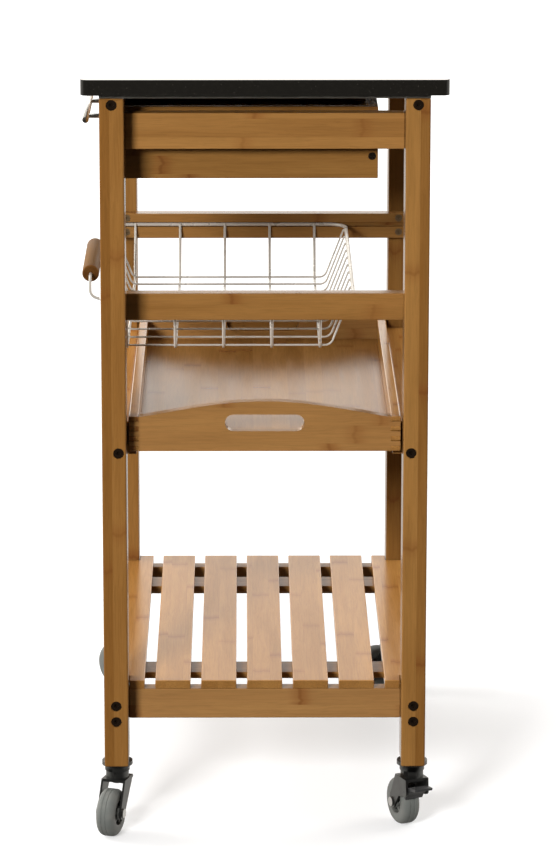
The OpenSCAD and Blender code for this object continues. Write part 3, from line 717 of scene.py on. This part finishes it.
def build_handle(material):
    """A round bar on two posts, each with a small collar where it meets the drawer."""
    low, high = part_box("drawer_handle")
    bar_r = (high.z - low.z) / 2
    post_r = 2.5 * MM
    post_y = 48 * MM
    collar = 2 * MM
    collar_r = post_r * 1.7
    centre_x = low.x + bar_r
    centre_z = (low.z + high.z) / 2
    bm = bmesh.new()
    along_y = Matrix.Translation((centre_x, 0, centre_z)) @ Matrix.Rotation(-math.pi / 2, 4, "X")
    half = high.y
    ease = 1.2 * MM
    lathe(bm, with_mirror([(-half, bar_r - ease), (-half + ease * 0.3, bar_r - ease * 0.3),
        (-half + ease, bar_r)]), along_y, 32)
    for y in (-post_y, post_y):
        along_x = Matrix.Translation((high.x, y, centre_z)) @ Matrix.Rotation(-math.pi / 2, 4, "Y")
        reach = high.x - centre_x
        lathe(bm, [(0, collar_r), (collar * 0.7, collar_r), (collar, post_r * 1.45),
            (collar * 1.1, post_r), (reach - bar_r * 0.9, post_r), (reach, post_r * 0.9)],
            along_x, 24)
    piece = new_piece("handle_bar", bm, material)
    piece.data.set_sharp_from_angle(angle=math.radians(40))
    stand_in(piece, "drawer", "chrome", "drawer_handle")


# ---------- basket ----------

# The bends of the wires, how far the walls lean in between rim and floor, and the rim's corners
BEND_R = 9 * MM
BASKET_LEAN = 21 * MM
RIM_CORNER_R = 20 * MM
# Half the thickness of each kind of wire, and how deep a weld sinks it into the rim
CROSS_R = 1.5 * MM
LONG_R = 1.0 * MM
WELD_SINK = 0.15 * MM
# How far the wires' ends stand over the rim's middle, and how much more the ends' walls lean in
WIRE_RISE = 0.9 * MM
CROSS_FOOT_IN = 10 * MM
# The grip's rounded ends, and how far its wires drop before they turn to the basket
GRIP_EASE = 2.2 * MM
GRIP_FALL = 20 * MM


def u_path(half_top, half_foot, top_z, floor_z, place):
    """A wire bent into a U, as points. place turns (along, up) into a point."""
    corners = [place(-half_top, top_z), place(-half_foot, floor_z), place(half_foot, floor_z),
        place(half_top, top_z)]
    return ([corners[0]] + arc(*corners[0:3], BEND_R) + arc(*corners[1:4], BEND_R)
        + [corners[3]])


class Rim:
    """The rim wire's radius, the place of its middle, and its half sizes to the wire's middle."""

    def __init__(self):
        low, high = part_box("basket_rim")
        self.radius = (high.z - low.z) / 2
        self.x = (low.x + high.x) / 2
        self.z = (high.z + low.z) / 2
        self.half_x = (high.x - low.x) / 2 - self.radius
        self.half_y = high.y - self.radius


def build_rim(rim, bright):
    path = []
    for sx, sy, start in ((1, 1, 0), (-1, 1, 90), (-1, -1, 180), (1, -1, 270)):
        for i in range(11):
            a = math.radians(start + 9 * i)
            path.append(Vector((
                rim.x + sx * (rim.half_x - RIM_CORNER_R) + RIM_CORNER_R * math.cos(a),
                sy * (rim.half_y - RIM_CORNER_R) + RIM_CORNER_R * math.sin(a), rim.z)))
    bm = bmesh.new()
    sweep(bm, path, rim.radius, 16, closed=True)
    stand_in(new_piece("rim_wire", bm, bright), "basket", "chrome", "basket_rim")


def build_cross_wires(rim, bright):
    bm = bmesh.new()
    half_top = rim.half_y - rim.radius - CROSS_R + WELD_SINK
    half_foot = half_top - BASKET_LEAN - CROSS_FOOT_IN
    bead_size = (2.0 * MM, 1.6 * MM, 1.8 * MM)
    for points in solids("basket_cross_wires", X):
        x = sum(ends_of(points, X)) / 2
        floor_z = ends_of(points, Z)[0] + CROSS_R
        path = u_path(half_top, half_foot, rim.z + WIRE_RISE, floor_z,
            lambda along, up: Vector((x, along, up)))
        sweep(bm, path, CROSS_R, 12, across=Vector((1, 0, 0)))
        for side in (-1, 1):
            bead(bm, (x, side * (half_top + 0.6 * MM), rim.z), bead_size)
    stand_in(new_piece("cross_wires", bm, bright), "basket", "chrome", "basket_cross_wires")


def build_long_wires(rim, bright):
    bm = bmesh.new()
    half_top = rim.half_x - rim.radius - LONG_R + WELD_SINK
    bead_size = (1.4 * MM, 1.5 * MM, 1.5 * MM)
    for points in solids("basket_long_wires", Y):
        y = sum(ends_of(points, Y)) / 2
        floor_z = ends_of(points, Z)[0] + LONG_R
        path = u_path(half_top, half_top - BASKET_LEAN, rim.z + WIRE_RISE, floor_z,
            lambda along, up: Vector((rim.x + along, y, up)))
        sweep(bm, path, LONG_R, 10, across=Vector((0, 1, 0)))
        for side in (-1, 1):
            bead(bm, (rim.x + side * (half_top + 0.5 * MM), y, rim.z), bead_size)
    stand_in(new_piece("long_wires", bm, bright), "basket", "chrome", "basket_long_wires")


def build_grip(rim, bright, wood):
    """The turned grip, and the two bent wires that carry it in front of the basket."""
    low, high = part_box("basket_grip")
    middle = (low + high) / 2
    radius = (high.z - low.z) / 2
    profile = [(-high.y, radius - GRIP_EASE)] + rounded_shoulder(high.y, radius, GRIP_EASE)
    bm = bmesh.new()
    lathe(bm, with_mirror(profile), Matrix.Translation((middle.x, 0, middle.z))
        @ Matrix.Rotation(-math.pi / 2, 4, "X"), 40)
    grip = new_piece("grip_dowel", bm, wood)
    grip.data.set_sharp_from_angle(angle=math.radians(50))
    stand_in(grip, "basket", "grip_wood", "basket_grip")

    floor_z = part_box("basket_long_wires")[0].z + LONG_R
    bm = bmesh.new()
    for points in solids("basket_grip_wires", Y):
        lows, highs = zip(*(ends_of(points, axis) for axis in (X, Y, Z)))
        side = 1 if lows[Y] > 0 else -1
        inner = min(abs(lows[Y]), abs(highs[Y]))
        outer = max(abs(lows[Y]), abs(highs[Y])) - CROSS_R
        foot = Vector((highs[X] - CROSS_R * 0.4, side * outer, (rim.z + floor_z) / 2))
        inside = Vector((middle.x, side * inner, middle.z))
        corner = Vector((middle.x, side * outer, middle.z))
        fall = corner - Vector((0, 0, GRIP_FALL))
        path = ([inside] + arc(inside, corner, fall, BEND_R) + arc(corner, fall, foot, BEND_R)
            + [foot])
        sweep(bm, path, CROSS_R, 12, across=Vector((1, 0, 0)))
    stand_in(new_piece("grip_wires", bm, bright), "basket", "chrome", "basket_grip_wires")


# ---------- castors ----------

TYRE_R = 25 * MM
TYRE_HALF_W = 9.5 * MM
TYRE_BORE = 15 * MM
TYRE_EASE = 6 * MM
TREAD_DEPTH = 0.45 * MM
WHEEL_SIDES = 72
RIBS = 6


def wheel_place(corner):
    """A matrix whose origin is the wheel's middle and whose Z axis is its axle."""
    joint = next(j for j in frame["joints"] if j["child"] == "wheel_" + corner)
    axis = Vector(joint["axis"]).normalized()
    turn = Vector((0, 0, 1)).rotation_difference(axis).to_matrix().to_4x4()
    low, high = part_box("castor_axle_" + corner)
    return Matrix.Translation((low + high) / 2) @ turn


def build_tyre(corner, place, paint):
    outer = [(-TYRE_HALF_W, TYRE_BORE), (-TYRE_HALF_W, TYRE_R - TYRE_EASE)]
    outer += rounded_shoulder(TYRE_HALF_W, TYRE_R, TYRE_EASE)
    tread = [(-3.0 * MM, TYRE_R), (-2.6 * MM, TYRE_R - TREAD_DEPTH),
        (-2.0 * MM, TYRE_R - TREAD_DEPTH), (-1.6 * MM, TYRE_R)]
    bm = bmesh.new()
    lathe(bm, with_mirror(outer + tread), place, WHEEL_SIDES, closed=True)
    tyre = new_piece("tyre_" + corner, bm, paint)
    tyre.data.set_sharp_from_angle(angle=math.radians(45))
    stand_in(tyre, "wheel_" + corner, "grey_tyre", "castor_tyre_" + corner)


def build_hub(corner, place, paint):
    """A rim band, a thin web with ribs, and a boss round the axle."""
    shaft = 3.05 * MM
    boss_r, boss_w = 7.2 * MM, 10.5 * MM
    web = 1.6 * MM
    rim_in = 12.8 * MM
    side = [(-boss_w, shaft), (-boss_w, boss_r - 0.8 * MM), (-boss_w + 0.8 * MM, boss_r),
        (-web, boss_r + 0.4 * MM), (-web, rim_in - 0.3 * MM), (-TYRE_HALF_W + 0.5 * MM, rim_in),
        (-TYRE_HALF_W, rim_in + 0.5 * MM), (-TYRE_HALF_W, TYRE_BORE)]
    bm = bmesh.new()
    lathe(bm, with_mirror(side), place, WHEEL_SIDES, closed=True)
    rib = 1.1 * MM
    corners = [(boss_r - 0.5 * MM, web * 0.5), (boss_r - 0.5 * MM, TYRE_HALF_W - 1.0 * MM),
        (rim_in + 0.2 * MM, TYRE_HALF_W - 2.2 * MM), (rim_in + 0.2 * MM, web * 0.5)]
    for k in range(RIBS):
        turn = place @ Matrix.Rotation(2 * math.pi * k / RIBS, 4, "Z")
        for face in (-1, 1):
            front = [bm.verts.new(turn @ Vector((r, rib, face * h))) for r, h in corners]
            back = [bm.verts.new(turn @ Vector((r, -rib, face * h))) for r, h in corners]
            bm.faces.new(front)
            bm.faces.new(reversed(back))
            for i in range(4):
                j = (i + 1) % 4
                bm.faces.new((front[i], front[j], back[j], back[i]))
    hub = new_piece("hub_" + corner, bm, paint)
    hub.data.set_sharp_from_angle(angle=math.radians(35))
    stand_in(hub, "wheel_" + corner, "grey_hub", "castor_hub_" + corner)


def finish_castors():
    tyre_paint = rubber("tyre_grey", TYRE_GREY)
    hub_paint = rubber("hub_grey", HUB_GREY, 0.42)
    steel = dark_metal("fork_steel", FORK_STEEL, 0.36)
    plastic = dark_metal("pedal_plastic", PEDAL_BLACK, 0.45, metal=0.0)
    axle = chrome("axle_zinc", AXLE_ZINC, 0.28)
    for corner in ("front_right", "front_left", "back_right", "back_left"):
        dress("castor_fork_" + corner, steel, 0.7, 2)
        dress("castor_axle_" + corner, axle, 0.4, 2)
        place = wheel_place(corner)
        build_tyre(corner, place, tyre_paint)
        build_hub(corner, place, hub_paint)
    for corner in ("back_right", "back_left"):
        dress("brake_lever_" + corner, plastic, 0.8)
    dress("castor_stems", steel, 0.6, 2)


bpy.context.scene.view_settings.view_transform = "Standard"
add_camera()
add_world()
add_floor()
for softbox, facts in SOFTBOXES.items():
    add_softbox(softbox, *facts)

finish_wood()
finish_drawer()
finish_tray()
finish_hardware()
grip_wood = bamboo("grip_wood", Y, WHOLE_STRIPS, 61.0, 0.6, rough=0.5, shine=0.05)
bright_wire = chrome("bright_wire", WIRE_CHROME, 0.27, 0.45)
build_handle(chrome("handle_chrome", HANDLE_CHROME, 0.22))
basket_rim = Rim()
build_rim(basket_rim, bright_wire)
build_cross_wires(basket_rim, bright_wire)
build_long_wires(basket_rim, bright_wire)
build_grip(basket_rim, bright_wire, grip_wood)
finish_castors()
